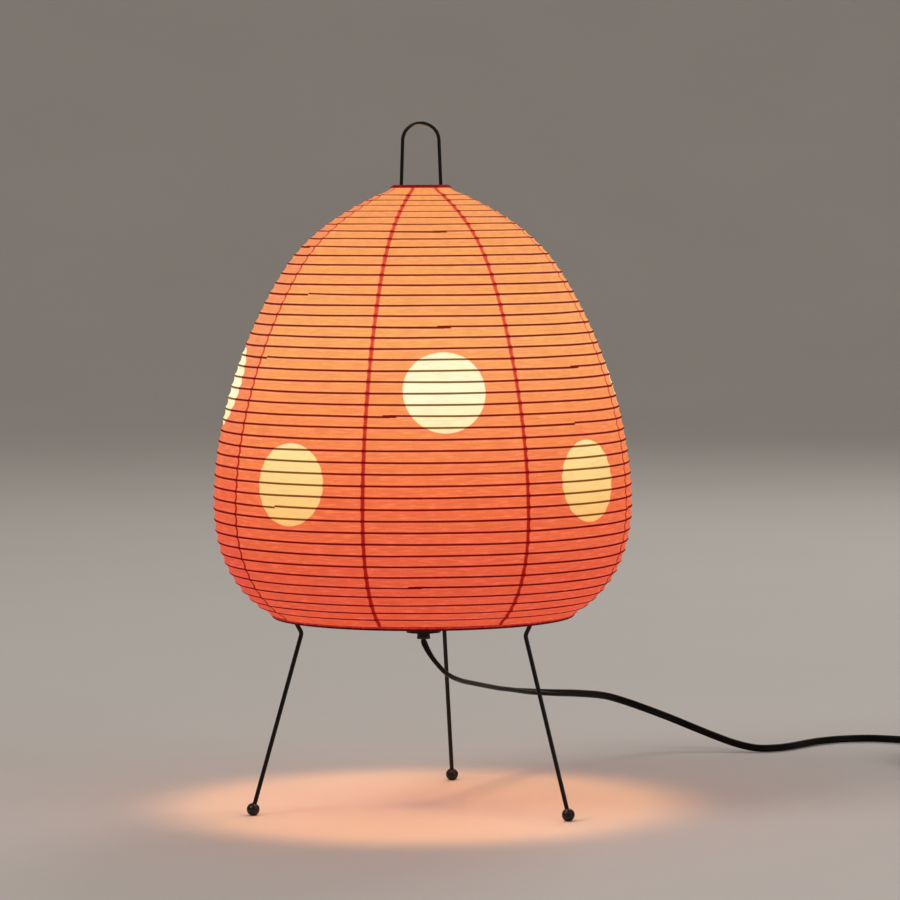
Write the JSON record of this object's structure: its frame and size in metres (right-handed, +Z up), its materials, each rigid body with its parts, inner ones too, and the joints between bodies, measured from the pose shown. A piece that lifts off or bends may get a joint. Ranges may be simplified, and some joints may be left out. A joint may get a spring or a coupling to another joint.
{
  "type": "paper table lamp",
  "caption": "Egg-shaped paper shade of seamed gores over thin hoops, on a bent wire stretcher with three hooked wire legs and ball feet, with corded bulb holder and inline switch.",
  "frame": {"origin": "on the floor, under the lamp's vertical axis", "axes": "+Z up; +Y towards the back leg; +X to the right, seen from the front"},
  "size_m": [0.5135, 0.4648, 0.4267],
  "materials": {
    "shade_paper": "handmade paper, translucent, dyed orange with plain pale discs",
    "hem_paper": "doubled paper strip, dark red",
    "hoop_wood": "thin split bamboo, matt",
    "black_wire": "black lacquered steel wire",
    "black_plate": "black lacquered steel",
    "foot_plastic": "black moulded ball",
    "brass": "plain brass",
    "dark_plastic": "black plastic",
    "cord_vinyl": "flat two-core cord, black vinyl",
    "core_vinyl": "core sheath",
    "holder_plastic": "ivory moulded resin",
    "holder_ceramic": "unglazed white ceramic",
    "bulb_glass": "softly frosted, warm light",
    "bulb_metal": "rolled thin metal",
    "bulb_black": "black insulator",
    "clear_glass": "clear glass mount",
    "filament": "coated filament rod",
    "switch_plastic": "black moulded, fine texture",
    "rocker_plastic": "black, a little glossier",
    "plated_steel": "nickel plated",
    "plug_plastic": "black moulded vinyl"
  },
  "bodies": {
    "lamp": {"gore_1": "shade_paper", "gore_2": "shade_paper", "gore_3": "shade_paper", "gore_4": "shade_paper", "gore_5": "shade_paper", "gore_6": "shade_paper", "gore_7": "shade_paper", "gore_8": "shade_paper", "hoops_crown": "hoop_wood", "hoops_shoulder": "hoop_wood", "hoops_upper": "hoop_wood", "hoops_middle": "hoop_wood", "hoops_belly": "hoop_wood", "hoops_lower": "hoop_wood", "shade_top_ring": "black_wire", "shade_bottom_ring": "black_wire", "shade_hem": "hem_paper", "handle_stretcher": "black_wire", "hub_plate": "black_plate", "leg_back": "black_wire", "leg_left": "black_wire", "leg_right": "black_wire", "foot_back": "foot_plastic", "foot_left": "foot_plastic", "foot_right": "foot_plastic", "nipple": "black_plate", "lock_nut": "black_plate", "cord_bushing": "dark_plastic", "inner_flex": "cord_vinyl", "flex_cores": "core_vinyl", "holder_cap": "holder_plastic", "holder_insulator": "holder_ceramic", "holder_shell": "holder_plastic", "holder_screw_shell": "brass", "holder_contact": "brass", "terminal_screws": "brass", "cord_lead": "cord_vinyl", "cord_link": "cord_vinyl", "cord_coil": "cord_vinyl", "cord_end": "cord_vinyl", "cord_tie": "dark_plastic", "switch_lower": "switch_plastic", "switch_upper": "switch_plastic", "switch_contacts": "brass", "switch_screws": "plated_steel", "switch_reliefs": "cord_vinyl", "plug_body": "plug_plastic", "plug_relief": "cord_vinyl", "plug_blades": "plated_steel"},
    "bulb": {"bulb_glass": "bulb_glass", "bulb_cap": "bulb_metal", "bulb_insulator": "bulb_black", "bulb_contact": "bulb_metal", "bulb_stem": "clear_glass", "bulb_filaments": "filament"},
    "rocker": {"switch_rocker": "rocker_plastic"}
  },
  "joints": [
    {"name": "bulb_unscrew", "type": "hinge", "parent": "lamp", "child": "bulb", "pos_m": [0, 0, 0.25], "axis": [0, 0, 1], "range_deg": [0, 1080]},
    {"name": "rocker_tip", "type": "hinge", "parent": "lamp", "child": "rocker", "pos_m": [0.305, 0.24, 0.0129], "axis": [1, 0, 0], "range_deg": [0, 16]}
  ]
}
